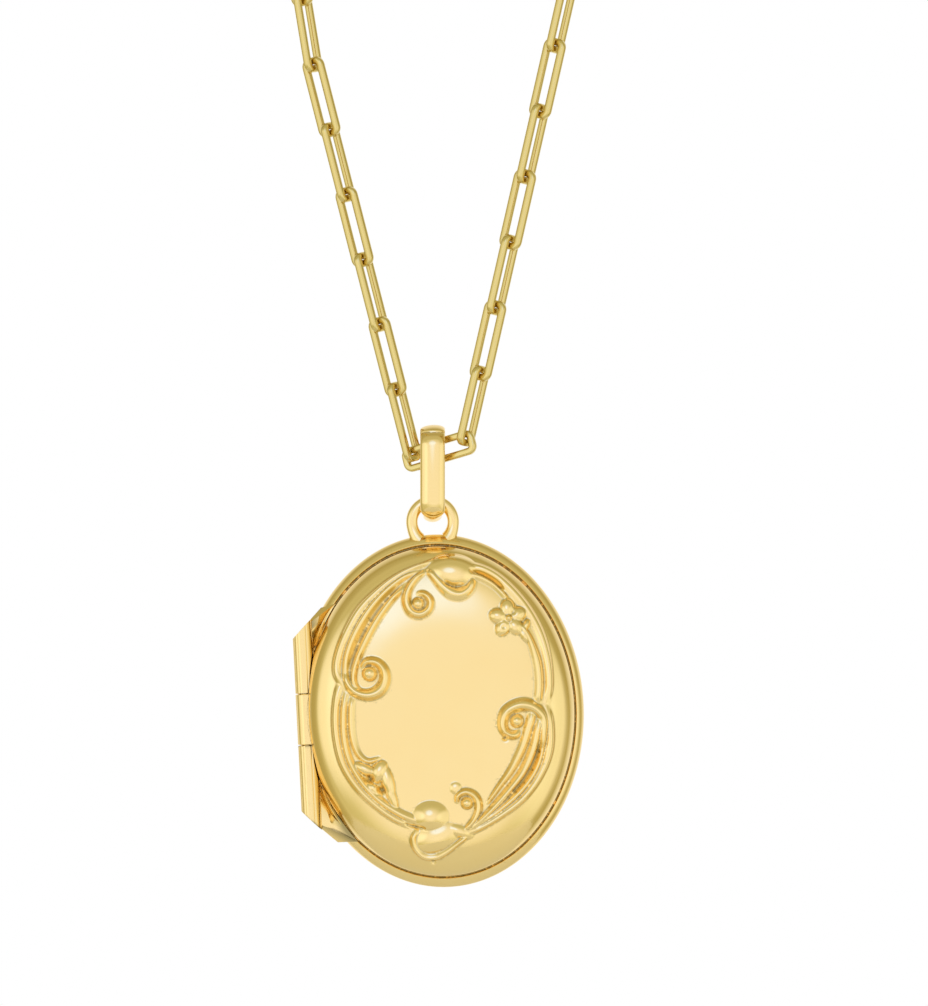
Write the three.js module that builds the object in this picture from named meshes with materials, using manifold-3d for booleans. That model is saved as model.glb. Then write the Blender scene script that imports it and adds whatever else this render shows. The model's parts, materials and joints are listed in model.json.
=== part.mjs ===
// An oval locket on the lower end of a paperclip chain.
// Millimetres, +Z up. The locket faces -Y and +X is to its right as it is looked at.
// The origin is the middle of the right end ring, where the necklace is held up.
import * as THREE from "three";
import { mergeVertices } from "three/addons/utils/BufferGeometryUtils.js";
import Module from "manifold-3d";

const wasm = await Module();
wasm.setup();

// ---- Driving dimensions ----

// Case: every oval piece is turned about the Y axis, then narrowed in X by OVAL_RATIO.
const OVAL_RATIO = 0.812;
const SEAM_RADIUS = 12.43; // long half-axis of the cover's edge
const CASE_RADIUS = 13.32; // long half-axis of the back shell's widest line
const WIDEST_Y = 1.1; // how far the widest line lies behind the seam
const COVER_DEPTH = 2.85;
const BACK_DEPTH = 3.05;
const BACK_FLAT_RADIUS = 9.5;
const SHELL_THICKNESS = 0.45;
const SEAM_GAP = 0.05;
const CASE_ROLL = THREE.MathUtils.degToRad(-2.9); // the hinge side hangs lower
const OVAL_STEPS = 44;
const CUT_OVERSHOOT = 1; // how far a cutting shape runs past what it cuts

// Inside: a raised bezel for the cover to snap over, and a frame, window and card in each half.
const BEZEL_OUTER = 11.83;
const BEZEL_INNER = 11.55;
const BEZEL_FRONT = 0.75;
const BEZEL_BACK = 1.3;
const BEZEL_HINGE_CUT = 0.5; // share of its half-width that the cut on the hinge side starts from
const FRAME_OUTER = 11.35;
const FRAME_OPENING = 8.9;
const FRAME_SKIRT_INNER = 11.05;
const FRAME_FACE = 0.12;
const FRAME_THICKNESS = 0.3;
const FRAME_SKIRT_DEPTH = 1.2;
const INSERT_RADIUS = 10.85;
const WINDOW_FACE = 0.5;
const WINDOW_THICKNESS = 0.25;
const CARD_FACE = 0.82;
const CARD_THICKNESS = 0.22;

// Hinge, on the left edge at the seam.
const HINGE_X = -10.1;
const KNUCKLE_RADIUS = 0.75;
const KNUCKLE_BORE = 0.36;
const PIN_RADIUS = 0.3;
const HINGE_NOTCH = 0.86;
const HINGE_TOP = 8.5;
const HINGE_BOTTOM = -9.5;
const MIDDLE_TOP = 1.8;
const MIDDLE_BOTTOM = -2.0;
const KNUCKLE_GAP = 0.06;
const LEAF_SLANT = 2.6; // length of each leaf's slanted end
const LEAF_FRONT = 0.06;
const LEAF_BACK = 0.7;
const LEAF_CORNER_DEPTH = 2; // the slanting cut runs this far to the front and to the back
const FLANK_GAP = 0.06; // between a leaf's web and the back shell

// Loop soldered on the top of the back shell.
const LOOP_X = 0.12;
const LOOP_HEIGHT = 14.27; // its centre, above the case's centre
const LOOP_WIRE = 0.88;
const LOOP_RADIUS = 1.56; // at the middle of its wire
const LOOP_FOOT_GAP = 0.03; // between its feet and the shell's edge
const LOOP_CUT_DEPTH = 3;

// Bail: a closed strap through the loop and round the middle link.
const BAIL_X = -0.6;
const BAIL_TOP = 21.59; // above the case's centre
const BAIL_BOTTOM = 14.23;
const BAIL_DEPTH = 3.8;
const BAIL_WIDTH = 1.86;
const BAIL_STRAP = 0.7;
const BAIL_FOOT = 1.04; // diameter of the round foot in the loop
const BAIL_FOOT_START = 0.35; // how far down its loop the strap starts to narrow, 0 to 1
const BAIL_FOOT_END = 0.98;
const BAIL_FLANK = 4; // the larger, the longer its straight front and back are
const BAIL_STEPS = 32;
const BAIL_SIDES = 8;

// Chain: flat-sided wire links, each turned a quarter turn from the next.
const LINK_LENGTH = 6.2;
const LINK_WIDTH = 1.9;
const LINK_WIRE = 0.55;
const LINK_EDGE = 0.12;
const LINK_CORNER = 0.55;
const LINK_HOLE_CORNER = 0.35;
const LINK_GAP = 0.04; // between the wires of two links
const LINK_ROLL = THREE.MathUtils.degToRad(55);
const LINKS_PER_STRAND = 8;
const LEFT_LEAN = THREE.MathUtils.degToRad(-14.3);
const LEFT_LEAN_HIGH = THREE.MathUtils.degToRad(-9.3);
const LEFT_LINKS_BELOW_BEND = 6;
const RIGHT_LEAN = THREE.MathUtils.degToRad(12.8);
const MIDDLE_TURN = THREE.MathUtils.degToRad(-26); // the right end is nearer the front
const MIDDLE_TILT = THREE.MathUtils.degToRad(15);
const MIDDLE_CENTRE = new THREE.Vector3(-0.1, -0.24, 19.6); // from the case's centre
const MIDDLE_PLAY = 0.07; // between the middle link's rail and the wire under it

// End fittings: a round ring on each end, and a lobster clasp on the left one.
const END_RING_RADIUS = 1.35;
const END_RING_WIRE = 0.6;
const CLASP_THICKNESS = 1.5;
const CLASP_HALF_WIDTH = 2.3;
const CLASP_HALF_LENGTH = 3.7;
const CLASP_RIM = 1.15;
const CLASP_EYE_RADIUS = 1.1;
const CLASP_EYE_HOLE = 0.6;
const CLASP_EYE_THICKNESS = 0.8;
const CLASP_CENTRE = 4.3; // above the middle of the eye
const CLASP_MOUTH_LOW = 3.3;
const CLASP_MOUTH_HIGH = 6.0;
const RIVET_X = 1.6;
const RIVET_HEIGHT = 2.6;
const RIVET_RADIUS = 0.3;
const RIVET_BORE = 0.34;
const LEVER_THICKNESS = 0.7;
const CLASP_MOUTH_DEPTH = 0.2; // the mouth is cut from here outwards
const SLOT_INNER = 0.4; // the lever's slot in the clasp's frame
const SLOT_BOTTOM = 1.6;
const SLOT_PLAY = 0.1;
const LEVER_INNER = 0.8;
const LEVER_BOTTOM = 2.05;
const LEVER_TIP_GAP = 0.05;
const THUMB_INNER = 1.5; // the small tab that opens the lever
const THUMB_REACH = 0.7;
const THUMB_BOTTOM = 3.5;
const THUMB_TOP = 4.3;

// ---- Materials ----

const gold = new THREE.MeshStandardMaterial({ color: 0xe3c66b, metalness: 1, roughness: 0.15 });
const innerGold = new THREE.MeshStandardMaterial({ color: 0xdcbd60, metalness: 1, roughness: 0.3 });
const clear = new THREE.MeshStandardMaterial({ color: 0xf2f4f2, roughness: 0.05, opacity: 0.35 });
const paper = new THREE.MeshStandardMaterial({ color: 0xf3efe4, roughness: 0.9 });

// ---- Helpers ----

function namedMesh(name, geometry, material) {
  const mesh = new THREE.Mesh(geometry, material);
  mesh.name = name;
  return mesh;
}

function toSolid(geometry) {
  const bare = geometry.clone();
  bare.deleteAttribute("normal");
  bare.deleteAttribute("uv");
  const merged = mergeVertices(bare, 1e-4);
  return new wasm.Manifold(
    new wasm.Mesh({
      numProp: 3,
      vertProperties: merged.attributes.position.array,
      triVerts: new Uint32Array(merged.index.array),
    }),
  );
}

function toGeometry(solid) {
  const { vertProperties, triVerts } = solid.getMesh();
  const geometry = new THREE.BufferGeometry();
  geometry.setAttribute("position", new THREE.BufferAttribute(vertProperties, 3));
  geometry.setIndex(new THREE.BufferAttribute(triVerts, 1));
  geometry.computeVertexNormals();
  return geometry;
}

// A solid turned about the Y axis and narrowed to the case's oval.
function oval(profile) {
  const points = profile.map(([radius, y]) => new THREE.Vector2(radius, y));
  return new THREE.LatheGeometry(points, OVAL_STEPS).scale(OVAL_RATIO, 1, 1);
}

// A cylinder standing along the hinge axis.
function hingeCylinder(radius, low, high, sides) {
  return new THREE.CylinderGeometry(radius, radius, high - low, sides)
    .rotateX(Math.PI / 2)
    .translate(HINGE_X, 0, (low + high) / 2);
}

// A flat outline in X and Z, given thickness along Y from front to back.
function plate(outline, front, back) {
  const shape = new THREE.Shape(outline.map(([x, z]) => new THREE.Vector2(x, z)));
  return new THREE.ExtrudeGeometry(shape, { depth: back - front, bevelEnabled: false })
    .rotateX(Math.PI / 2)
    .translate(0, back, 0);
}

// A closed tube: sections[i] is a ring of points, and the last ring joins the first.
function closedTube(sections) {
  const sides = sections[0].length;
  const positions = sections.flat().flatMap((point) => point.toArray());
  const index = [];
  for (let i = 0; i < sections.length; i += 1) {
    const next = (i + 1) % sections.length;
    for (let k = 0; k < sides; k += 1) {
      const beside = (k + 1) % sides;
      const a = i * sides + k;
      const b = i * sides + beside;
      const c = next * sides + beside;
      const d = next * sides + k;
      index.push(a, b, c, a, c, d);
    }
  }
  const geometry = new THREE.BufferGeometry();
  geometry.setAttribute("position", new THREE.Float32BufferAttribute(positions, 3));
  geometry.setIndex(index);
  geometry.computeVertexNormals();
  return geometry;
}

// ---- Case shells ----

const coverOutline = [
  [SEAM_RADIUS, -SEAM_GAP],
  [12.33, -0.6],
  [11.9, -1.35],
  [11.1, -2.0],
  [9.7, -2.48],
  [7.5, -2.74],
  [0, -COVER_DEPTH],
];

const backOutline = [
  [SEAM_RADIUS, SEAM_GAP],
  [13.0, 0.55],
  [CASE_RADIUS, WIDEST_Y],
  [13.1, 1.85],
  [12.3, 2.5],
  [11.0, 2.92],
  [BACK_FLAT_RADIUS, BACK_DEPTH],
  [0, BACK_DEPTH],
];

const hingeNotch = toSolid(
  hingeCylinder(HINGE_NOTCH, HINGE_BOTTOM - KNUCKLE_GAP, HINGE_TOP + KNUCKLE_GAP, 20),
);

function frontCover() {
  const inside = [
    [0, SHELL_THICKNESS - COVER_DEPTH],
    [9.4, -2.05],
    [11.1, -1.5],
    [11.93, -0.8],
    [SEAM_RADIUS - SHELL_THICKNESS, -SEAM_GAP],
  ];
  const shell = toSolid(oval([...inside, ...coverOutline].reverse()));
  return namedMesh("front_cover", toGeometry(shell.subtract(hingeNotch)), gold);
}

function backShell() {
  const inside = [
    [0, BACK_DEPTH - SHELL_THICKNESS],
    [9.6, BACK_DEPTH - SHELL_THICKNESS],
    [11.9, 1.95],
    [12.55, WIDEST_Y],
    [SEAM_RADIUS - SHELL_THICKNESS, SEAM_GAP],
  ];
  const shell = toSolid(oval([...inside, ...backOutline]));
  return namedMesh("back_shell", toGeometry(shell.subtract(hingeNotch)), gold);
}

// The bezel stops short of the hinge, so the cover's edge can turn past it.
function snapBezel() {
  const ring = toSolid(
    oval([
      [BEZEL_INNER, -BEZEL_FRONT],
      [BEZEL_INNER, BEZEL_BACK],
      [BEZEL_OUTER, BEZEL_BACK],
      [BEZEL_OUTER, -BEZEL_FRONT],
      [BEZEL_INNER, -BEZEL_FRONT],
    ].reverse()),
  );
  const reach = CASE_RADIUS;
  const cutFrom = BEZEL_INNER * OVAL_RATIO * BEZEL_HINGE_CUT;
  const hingeSide = plate(
    [
      [-reach, HINGE_BOTTOM],
      [-cutFrom, HINGE_BOTTOM],
      [-cutFrom, HINGE_TOP],
      [-reach, HINGE_TOP],
    ],
    -BEZEL_FRONT - CUT_OVERSHOOT,
    BEZEL_BACK + CUT_OVERSHOOT,
  );
  return namedMesh("snap_bezel", toGeometry(ring.subtract(toSolid(hingeSide))), innerGold);
}

// ---- Pieces inside each half: side is -1 in the cover and 1 in the back shell ----

function sided(profile, side) {
  const placed = profile.map(([radius, y]) => [radius, y * side]);
  return oval(side > 0 ? placed.reverse() : placed);
}

function photoFrame(name, side) {
  const face = FRAME_FACE;
  const profile = [
    [FRAME_OPENING, face],
    [FRAME_OPENING, face + FRAME_THICKNESS],
    [FRAME_SKIRT_INNER, face + FRAME_THICKNESS],
    [FRAME_SKIRT_INNER, FRAME_SKIRT_DEPTH],
    [FRAME_OUTER, FRAME_SKIRT_DEPTH],
    [FRAME_OUTER, face],
    [FRAME_OPENING, face],
  ];
  return namedMesh(name, sided(profile, side), innerGold);
}

function insert(name, side, face, thickness, material) {
  const profile = [
    [0, face + thickness],
    [INSERT_RADIUS, face + thickness],
    [INSERT_RADIUS, face],
    [0, face],
  ];
  return namedMesh(name, sided(profile, side), material);
}

// ---- Hinge ----

function knuckle(low, high) {
  const tube = toSolid(hingeCylinder(KNUCKLE_RADIUS, low, high, 20));
  const bore = toSolid(hingeCylinder(KNUCKLE_BORE, low - CUT_OVERSHOOT, high + CUT_OVERSHOOT, 12));
  return { tube, bore };
}

// A leaf is rolled round the pin at its outer edge and soldered to the back shell's flank.
function hingeLeaf(name, inner, outer) {
  const low = Math.min(inner, outer);
  const high = Math.max(inner, outer);
  const { tube, bore } = knuckle(low, high);
  const web = toSolid(
    plate(
      [
        [HINGE_X, low],
        [0, low],
        [0, high],
        [HINGE_X, high],
      ],
      LEAF_FRONT,
      LEAF_BACK,
    ),
  );
  const flank = toSolid(
    oval([[0, -SEAM_GAP], [SEAM_RADIUS, -SEAM_GAP], ...backOutline].map(
      ([radius, y]) => [radius ? radius + FLANK_GAP : 0, y],
    )),
  );
  const beyond = Math.sign(outer - inner);
  const edge = HINGE_X - KNUCKLE_RADIUS - CUT_OVERSHOOT / 10;
  const corner = plate(
    [
      [edge, outer - beyond * LEAF_SLANT],
      [edge + LEAF_SLANT + CUT_OVERSHOOT, outer + beyond],
      [edge, outer + beyond],
    ],
    -LEAF_CORNER_DEPTH,
    LEAF_CORNER_DEPTH,
  );
  const leaf = tube
    .add(web.subtract(flank))
    .subtract(bore)
    .subtract(toSolid(corner));
  return namedMesh(name, toGeometry(leaf), gold);
}

function middleKnuckle() {
  const { tube, bore } = knuckle(MIDDLE_BOTTOM, MIDDLE_TOP);
  return namedMesh("middle_knuckle", toGeometry(tube.subtract(bore)), gold);
}

function hingePin() {
  const low = HINGE_BOTTOM + LEAF_SLANT;
  const high = HINGE_TOP - LEAF_SLANT;
  return namedMesh("hinge_pin", hingeCylinder(PIN_RADIUS, low, high, 12), innerGold);
}

// ---- Loop and bail ----

// The loop's feet end on the shell, so the part of its wire inside the oval is cut away.
function topLoop() {
  const loop = new THREE.TorusGeometry(LOOP_RADIUS, LOOP_WIRE / 2, 10, 28)
    .rotateX(Math.PI / 2)
    .translate(LOOP_X, WIDEST_Y, LOOP_HEIGHT);
  const footEdge = CASE_RADIUS + LOOP_FOOT_GAP;
  const shellEdge = oval([
    [0, WIDEST_Y - LOOP_CUT_DEPTH],
    [footEdge, WIDEST_Y - LOOP_CUT_DEPTH],
    [footEdge, WIDEST_Y + LOOP_CUT_DEPTH],
    [0, WIDEST_Y + LOOP_CUT_DEPTH],
  ]);
  const cut = toSolid(loop).subtract(toSolid(shellEdge));
  return namedMesh("top_loop", toGeometry(cut), gold);
}

// A strap round a tall loop in Y and Z. It is widest in front and at the top,
// and narrows to a round foot where it passes through the case's loop.
function bail() {
  const height = BAIL_TOP - BAIL_BOTTOM;
  const half = BAIL_DEPTH / 2;
  const sections = [];
  for (let i = 0; i < BAIL_STEPS; i += 1) {
    const turn = (i / BAIL_STEPS) * 2 * Math.PI;
    const out = new THREE.Vector3(0, -Math.sin(turn), Math.cos(turn));
    const foot = THREE.MathUtils.smoothstep(-out.z, BAIL_FOOT_START, BAIL_FOOT_END);
    const width = THREE.MathUtils.lerp(BAIL_WIDTH, BAIL_FOOT, foot);
    const strap = THREE.MathUtils.lerp(BAIL_STRAP, BAIL_FOOT, foot);
    const middle = new THREE.Vector3(
      BAIL_X,
      out.y * (half - strap / 2),
      BAIL_BOTTOM + height / 2 + Math.sign(out.z) * (height / 2 - half)
        * Math.min(1, Math.abs(out.z) * BAIL_FLANK) + out.z * (half - strap / 2),
    );
    const ring = [];
    for (let k = 0; k < BAIL_SIDES; k += 1) {
      const angle = (k / BAIL_SIDES) * 2 * Math.PI;
      const across = new THREE.Vector3((Math.cos(angle) * width) / 2, 0, 0);
      const along = out.clone().multiplyScalar((Math.sin(angle) * strap) / 2);
      ring.push(middle.clone().add(across).add(along));
    }
    sections.push(ring);
  }
  return namedMesh("bail", closedTube(sections), gold);
}

// ---- Chain ----

// One link: a rounded oblong of flat-sided wire, long in Z, lying in the X-Z plane.
function linkGeometry() {
  const outline = (wide, long, corner, path) => {
    const x = wide / 2;
    const z = long / 2;
    path.moveTo(x, corner - z);
    path.lineTo(x, z - corner);
    path.absarc(x - corner, z - corner, corner, 0, Math.PI / 2);
    path.absarc(corner - x, z - corner, corner, Math.PI / 2, Math.PI);
    path.absarc(corner - x, corner - z, corner, Math.PI, 1.5 * Math.PI);
    path.absarc(x - corner, corner - z, corner, 1.5 * Math.PI, 2 * Math.PI);
    return path;
  };
  const bevel = LINK_EDGE;
  const width = LINK_WIDTH - 2 * bevel;
  const length = LINK_LENGTH - 2 * bevel;
  const shape = outline(width, length, LINK_CORNER, new THREE.Shape());
  const holeWidth = LINK_WIDTH - 2 * LINK_WIRE + 2 * bevel;
  const holeLength = LINK_LENGTH - 2 * LINK_WIRE + 2 * bevel;
  shape.holes.push(outline(holeWidth, holeLength, LINK_HOLE_CORNER, new THREE.Path()));
  return new THREE.ExtrudeGeometry(shape, {
    depth: LINK_WIRE - 2 * bevel,
    curveSegments: 2,
    bevelThickness: bevel,
    bevelSize: bevel,
    bevelSegments: 1,
  })
    .translate(0, 0, bevel - LINK_WIRE / 2)
    .rotateX(Math.PI / 2);
}

const sharedLink = linkGeometry();
const END_TO_BAR = LINK_WIRE / 2; // from a link's outer end to the middle of its end wire
const BAR_FROM_CENTRE = LINK_LENGTH / 2 - END_TO_BAR;
const PIVOT_FROM_BAR = (LINK_WIRE + LINK_GAP) / 2;
const PITCH = 2 * (BAR_FROM_CENTRE - PIVOT_FROM_BAR);

// A link standing along a direction, turned about it by roll.
function link(name, centre, direction, roll) {
  const mesh = namedMesh(name, sharedLink, gold);
  const side = new THREE.Vector3(0, 1, 0).cross(direction).normalize();
  const depth = direction.clone().cross(side);
  const basis = new THREE.Matrix4().makeBasis(side, depth, direction);
  mesh.quaternion.setFromRotationMatrix(basis);
  mesh.rotateZ(roll);
  mesh.position.copy(centre);
  return mesh;
}

function upward(lean) {
  return new THREE.Vector3(Math.sin(lean), 0, Math.cos(lean));
}

const middleDirection = new THREE.Vector3(
  Math.cos(MIDDLE_TILT) * Math.cos(MIDDLE_TURN),
  Math.cos(MIDDLE_TILT) * Math.sin(MIDDLE_TURN),
  Math.sin(MIDDLE_TILT),
);
const middleUp = new THREE.Vector3(0, 0, 1)
  .addScaledVector(middleDirection, -middleDirection.z)
  .normalize();

// Where the lowest wire of a strand lies inside the middle link; end is -1 left and 1 right.
function lowestBar(end) {
  const along = BAR_FROM_CENTRE - LINK_WIRE - LINK_GAP;
  const up = LINK_WIDTH / 2 - LINK_WIRE * 1.5 - MIDDLE_PLAY;
  return MIDDLE_CENTRE.clone()
    .addScaledVector(middleDirection, end * along)
    .addScaledVector(middleUp, up);
}

// The links of one strand, from the bottom up, and the pivot above the last one.
function strand(side, end, leanOf, firstRoll) {
  const links = [];
  let pivot = lowestBar(end).addScaledVector(upward(leanOf(0)), PIVOT_FROM_BAR);
  for (let i = 0; i < LINKS_PER_STRAND; i += 1) {
    const direction = upward(leanOf(i));
    const centre = pivot.clone().addScaledVector(direction, PITCH / 2);
    const roll = i % 2 === 0 ? firstRoll : firstRoll - Math.PI / 2;
    links.push(link(`${side}_link_${i + 1}`, centre, direction, roll));
    pivot = pivot.clone().addScaledVector(direction, PITCH);
  }
  return { links, top: pivot, direction: upward(leanOf(LINKS_PER_STRAND - 1)) };
}

const leftLean = (i) => (i < LEFT_LINKS_BELOW_BEND ? LEFT_LEAN : LEFT_LEAN_HIGH);
const left = strand("left", -1, leftLean, LINK_ROLL);
const right = strand("right", 1, () => RIGHT_LEAN, LINK_ROLL);

function middleLink() {
  const mesh = namedMesh("middle_link", sharedLink, gold);
  const depth = middleDirection.clone().cross(middleUp);
  const basis = new THREE.Matrix4().makeBasis(middleUp, depth, middleDirection);
  mesh.quaternion.setFromRotationMatrix(basis);
  mesh.position.copy(MIDDLE_CENTRE);
  return mesh;
}

// ---- End fittings ----

// Turns a piece to lie on the strand's line, as link() does.
function along(mesh, centre, direction, roll) {
  mesh.quaternion.copy(link("", centre, direction, roll).quaternion);
  mesh.position.copy(centre);
  return mesh;
}

const endRingLift = END_RING_RADIUS - (END_RING_WIRE + LINK_GAP) / 2;

function endRingCentre(end) {
  return end.top.clone().addScaledVector(end.direction, endRingLift);
}

function endRing(name, end) {
  const geometry = new THREE.TorusGeometry(END_RING_RADIUS, END_RING_WIRE / 2, 8, 20)
    .rotateX(Math.PI / 2);
  return along(
    namedMesh(name, geometry, gold),
    endRingCentre(end),
    end.direction,
    LINK_ROLL,
  );
}

function slab(xLow, xHigh, zLow, zHigh, thickness) {
  return new THREE.BoxGeometry(xHigh - xLow, thickness, zHigh - zLow)
    .translate((xLow + xHigh) / 2, 0, (zLow + zHigh) / 2);
}

// The clasp's rounded frame, with the eye at its lower end; its own origin is the eye's middle.
function claspFrame(thickness) {
  const shape = new THREE.Shape();
  shape.absellipse(0, CLASP_CENTRE, CLASP_HALF_WIDTH, CLASP_HALF_LENGTH, 0, 2 * Math.PI);
  const hole = new THREE.Path();
  const holeWidth = CLASP_HALF_WIDTH - CLASP_RIM;
  const holeLength = CLASP_HALF_LENGTH - CLASP_RIM;
  hole.absellipse(0, CLASP_CENTRE, holeWidth, holeLength, 0, 2 * Math.PI);
  shape.holes.push(hole);
  const frame = new THREE.ExtrudeGeometry(shape, {
    depth: thickness,
    curveSegments: 9,
    bevelEnabled: false,
  });
  return toSolid(frame.rotateX(Math.PI / 2).translate(0, thickness / 2, 0));
}

function crossBar(radius, x, z, length, sides) {
  return toSolid(new THREE.CylinderGeometry(radius, radius, length, sides).translate(x, 0, z));
}

function claspBody() {
  const wide = 2 * CLASP_HALF_WIDTH;
  const eye = crossBar(CLASP_EYE_RADIUS, 0, 0, CLASP_EYE_THICKNESS, 16);
  const eyeHole = crossBar(CLASP_EYE_HOLE, 0, 0, 2 * CLASP_THICKNESS, 12);
  const through = 2 * CLASP_THICKNESS;
  const mouth = slab(CLASP_MOUTH_DEPTH, wide, CLASP_MOUTH_LOW, CLASP_MOUTH_HIGH, through);
  const slotTop = CLASP_MOUTH_LOW + SLOT_PLAY;
  const slot = slab(SLOT_INNER, wide, SLOT_BOTTOM, slotTop, LEVER_THICKNESS + SLOT_PLAY);
  const rivetHole = crossBar(RIVET_BORE, RIVET_X, RIVET_HEIGHT, 2 * CLASP_THICKNESS, 12);
  const body = claspFrame(CLASP_THICKNESS)
    .add(eye)
    .subtract(eyeHole)
    .subtract(toSolid(mouth))
    .subtract(toSolid(slot))
    .subtract(rivetHole);
  return namedMesh("clasp_body", toGeometry(body), gold);
}

function claspLever() {
  const reach = CLASP_HALF_WIDTH + CUT_OVERSHOOT;
  const tip = CLASP_MOUTH_HIGH - LEVER_TIP_GAP;
  const part = slab(LEVER_INNER, reach, LEVER_BOTTOM, tip, LEVER_THICKNESS);
  const thumbTip = CLASP_HALF_WIDTH + THUMB_REACH;
  const thumb = slab(THUMB_INNER, thumbTip, THUMB_BOTTOM, THUMB_TOP, LEVER_THICKNESS);
  const rivetHole = crossBar(RIVET_BORE, RIVET_X, RIVET_HEIGHT, 2 * CLASP_THICKNESS, 12);
  const lever = claspFrame(LEVER_THICKNESS)
    .intersect(toSolid(part))
    .add(toSolid(thumb))
    .subtract(rivetHole);
  return namedMesh("clasp_lever", toGeometry(lever), gold);
}

function claspRivet() {
  const rivet = new THREE.CylinderGeometry(RIVET_RADIUS, RIVET_RADIUS, CLASP_THICKNESS, 12)
    .translate(RIVET_X, 0, RIVET_HEIGHT);
  return namedMesh("clasp_rivet", rivet, innerGold);
}

function clasp(end) {
  const group = new THREE.Group();
  group.add(claspBody(), claspLever(), claspRivet());
  const rise = END_RING_RADIUS + CLASP_EYE_HOLE - END_RING_WIRE / 2 - LINK_GAP;
  const eye = endRingCentre(end).addScaledVector(end.direction, rise);
  return along(group, eye, end.direction, LINK_ROLL - Math.PI / 2);
}

// ---- Assembly ----

const ovalCase = new THREE.Group();
ovalCase.rotation.y = CASE_ROLL;
ovalCase.position.y = -WIDEST_Y;
ovalCase.add(
  frontCover(),
  backShell(),
  snapBezel(),
  photoFrame("cover_photo_frame", -1),
  insert("cover_window", -1, WINDOW_FACE, WINDOW_THICKNESS, clear),
  insert("cover_photo_card", -1, CARD_FACE, CARD_THICKNESS, paper),
  photoFrame("back_photo_frame", 1),
  insert("back_window", 1, WINDOW_FACE, WINDOW_THICKNESS, clear),
  insert("back_photo_card", 1, CARD_FACE, CARD_THICKNESS, paper),
  hingeLeaf("upper_hinge_leaf", MIDDLE_TOP + KNUCKLE_GAP, HINGE_TOP),
  hingeLeaf("lower_hinge_leaf", MIDDLE_BOTTOM - KNUCKLE_GAP, HINGE_BOTTOM),
  middleKnuckle(),
  hingePin(),
  topLoop(),
);

const locket = new THREE.Group();
locket.add(
  ovalCase,
  bail(),
  middleLink(),
  ...left.links,
  ...right.links,
  endRing("left_end_ring", left),
  endRing("right_end_ring", right),
  clasp(left),
);
locket.position.copy(endRingCentre(right)).negate();

export default locket;
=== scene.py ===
"""The look of an oval gold locket on a paperclip chain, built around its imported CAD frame."""
import json
import math

import bmesh
import bpy
import numpy as np
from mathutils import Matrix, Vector


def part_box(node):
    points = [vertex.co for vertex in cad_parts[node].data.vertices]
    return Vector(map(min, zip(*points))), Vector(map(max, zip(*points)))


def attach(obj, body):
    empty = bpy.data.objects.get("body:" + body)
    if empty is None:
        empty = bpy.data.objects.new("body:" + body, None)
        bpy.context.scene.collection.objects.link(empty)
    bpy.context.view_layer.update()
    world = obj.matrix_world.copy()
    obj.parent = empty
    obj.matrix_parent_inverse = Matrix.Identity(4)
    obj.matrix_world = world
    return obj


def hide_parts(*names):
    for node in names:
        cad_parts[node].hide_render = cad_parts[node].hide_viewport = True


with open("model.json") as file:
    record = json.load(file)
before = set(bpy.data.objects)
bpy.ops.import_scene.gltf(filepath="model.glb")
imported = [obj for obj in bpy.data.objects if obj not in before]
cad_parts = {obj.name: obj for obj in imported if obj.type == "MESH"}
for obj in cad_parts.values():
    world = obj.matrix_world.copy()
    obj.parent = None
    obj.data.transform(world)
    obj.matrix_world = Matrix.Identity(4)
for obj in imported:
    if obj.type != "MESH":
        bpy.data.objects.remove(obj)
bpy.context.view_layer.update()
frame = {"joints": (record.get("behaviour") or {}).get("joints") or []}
MM = 0.001
JOINTS = {joint["name"]: joint for joint in frame["joints"]}


def box_centre(node):
    low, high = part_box(node)
    return (np.array(low) + np.array(high)) / 2


def unit(vector):
    vector = np.asarray(vector, float)
    return vector / np.linalg.norm(vector)


# ---- The case's own axes: u to the right, v up, front is -Y ----

CASE_UP = -unit(JOINTS["cover_opens"]["axis"])
CASE_RIGHT = np.cross([0.0, 1.0, 0.0], CASE_UP)
CASE_BACK = np.array([0.0, 1.0, 0.0])
CASE_CENTRE = box_centre("back_photo_card")
CASE_CENTRE[1] = (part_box("cover_window")[1].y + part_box("back_window")[0].y) / 2

OVAL_RATIO = 0.812  # width over height of every oval
HINGE_U = -10.1


def case_points(u, y, v):
    """Row-frame metres from the case's own millimetres; arrays or numbers."""
    u, y, v = np.broadcast_arrays(np.asarray(u, float), y, v)
    offsets = (
        u[..., None] * CASE_RIGHT + y[..., None] * CASE_BACK + v[..., None] * CASE_UP
    )
    return CASE_CENTRE + offsets * MM


# ---- Mesh helpers ----


def mesh_piece(name, vertices, faces, material, body, node, slot, sharp=None):
    """A smooth mesh object that rides on a body and stands for a CAD node."""
    mesh = bpy.data.meshes.new(name)
    mesh.from_pydata([tuple(p) for p in vertices], [], faces)
    shape = bmesh.new()
    shape.from_mesh(mesh)
    bmesh.ops.recalc_face_normals(shape, faces=shape.faces)
    shape.to_mesh(mesh)
    shape.free()
    mesh.polygons.foreach_set("use_smooth", [True] * len(mesh.polygons))
    piece = bpy.data.objects.new(name, mesh)
    bpy.context.scene.collection.objects.link(piece)
    if sharp is not None:
        mesh.set_sharp_from_angle(angle=math.radians(sharp))
    mesh.materials.append(material)
    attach(piece, body)
    if node:
        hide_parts(node)
    return piece


def grid_faces(rows, columns, wrap_rows):
    """Quads over rows of points that each close on themselves."""
    faces = []
    last = rows if wrap_rows else rows - 1
    for i in range(last):
        below = ((i + 1) % rows) * columns
        for k in range(columns):
            beside = (k + 1) % columns
            faces.append((i * columns + k, i * columns + beside, below + beside, below + k))
    return faces


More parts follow.
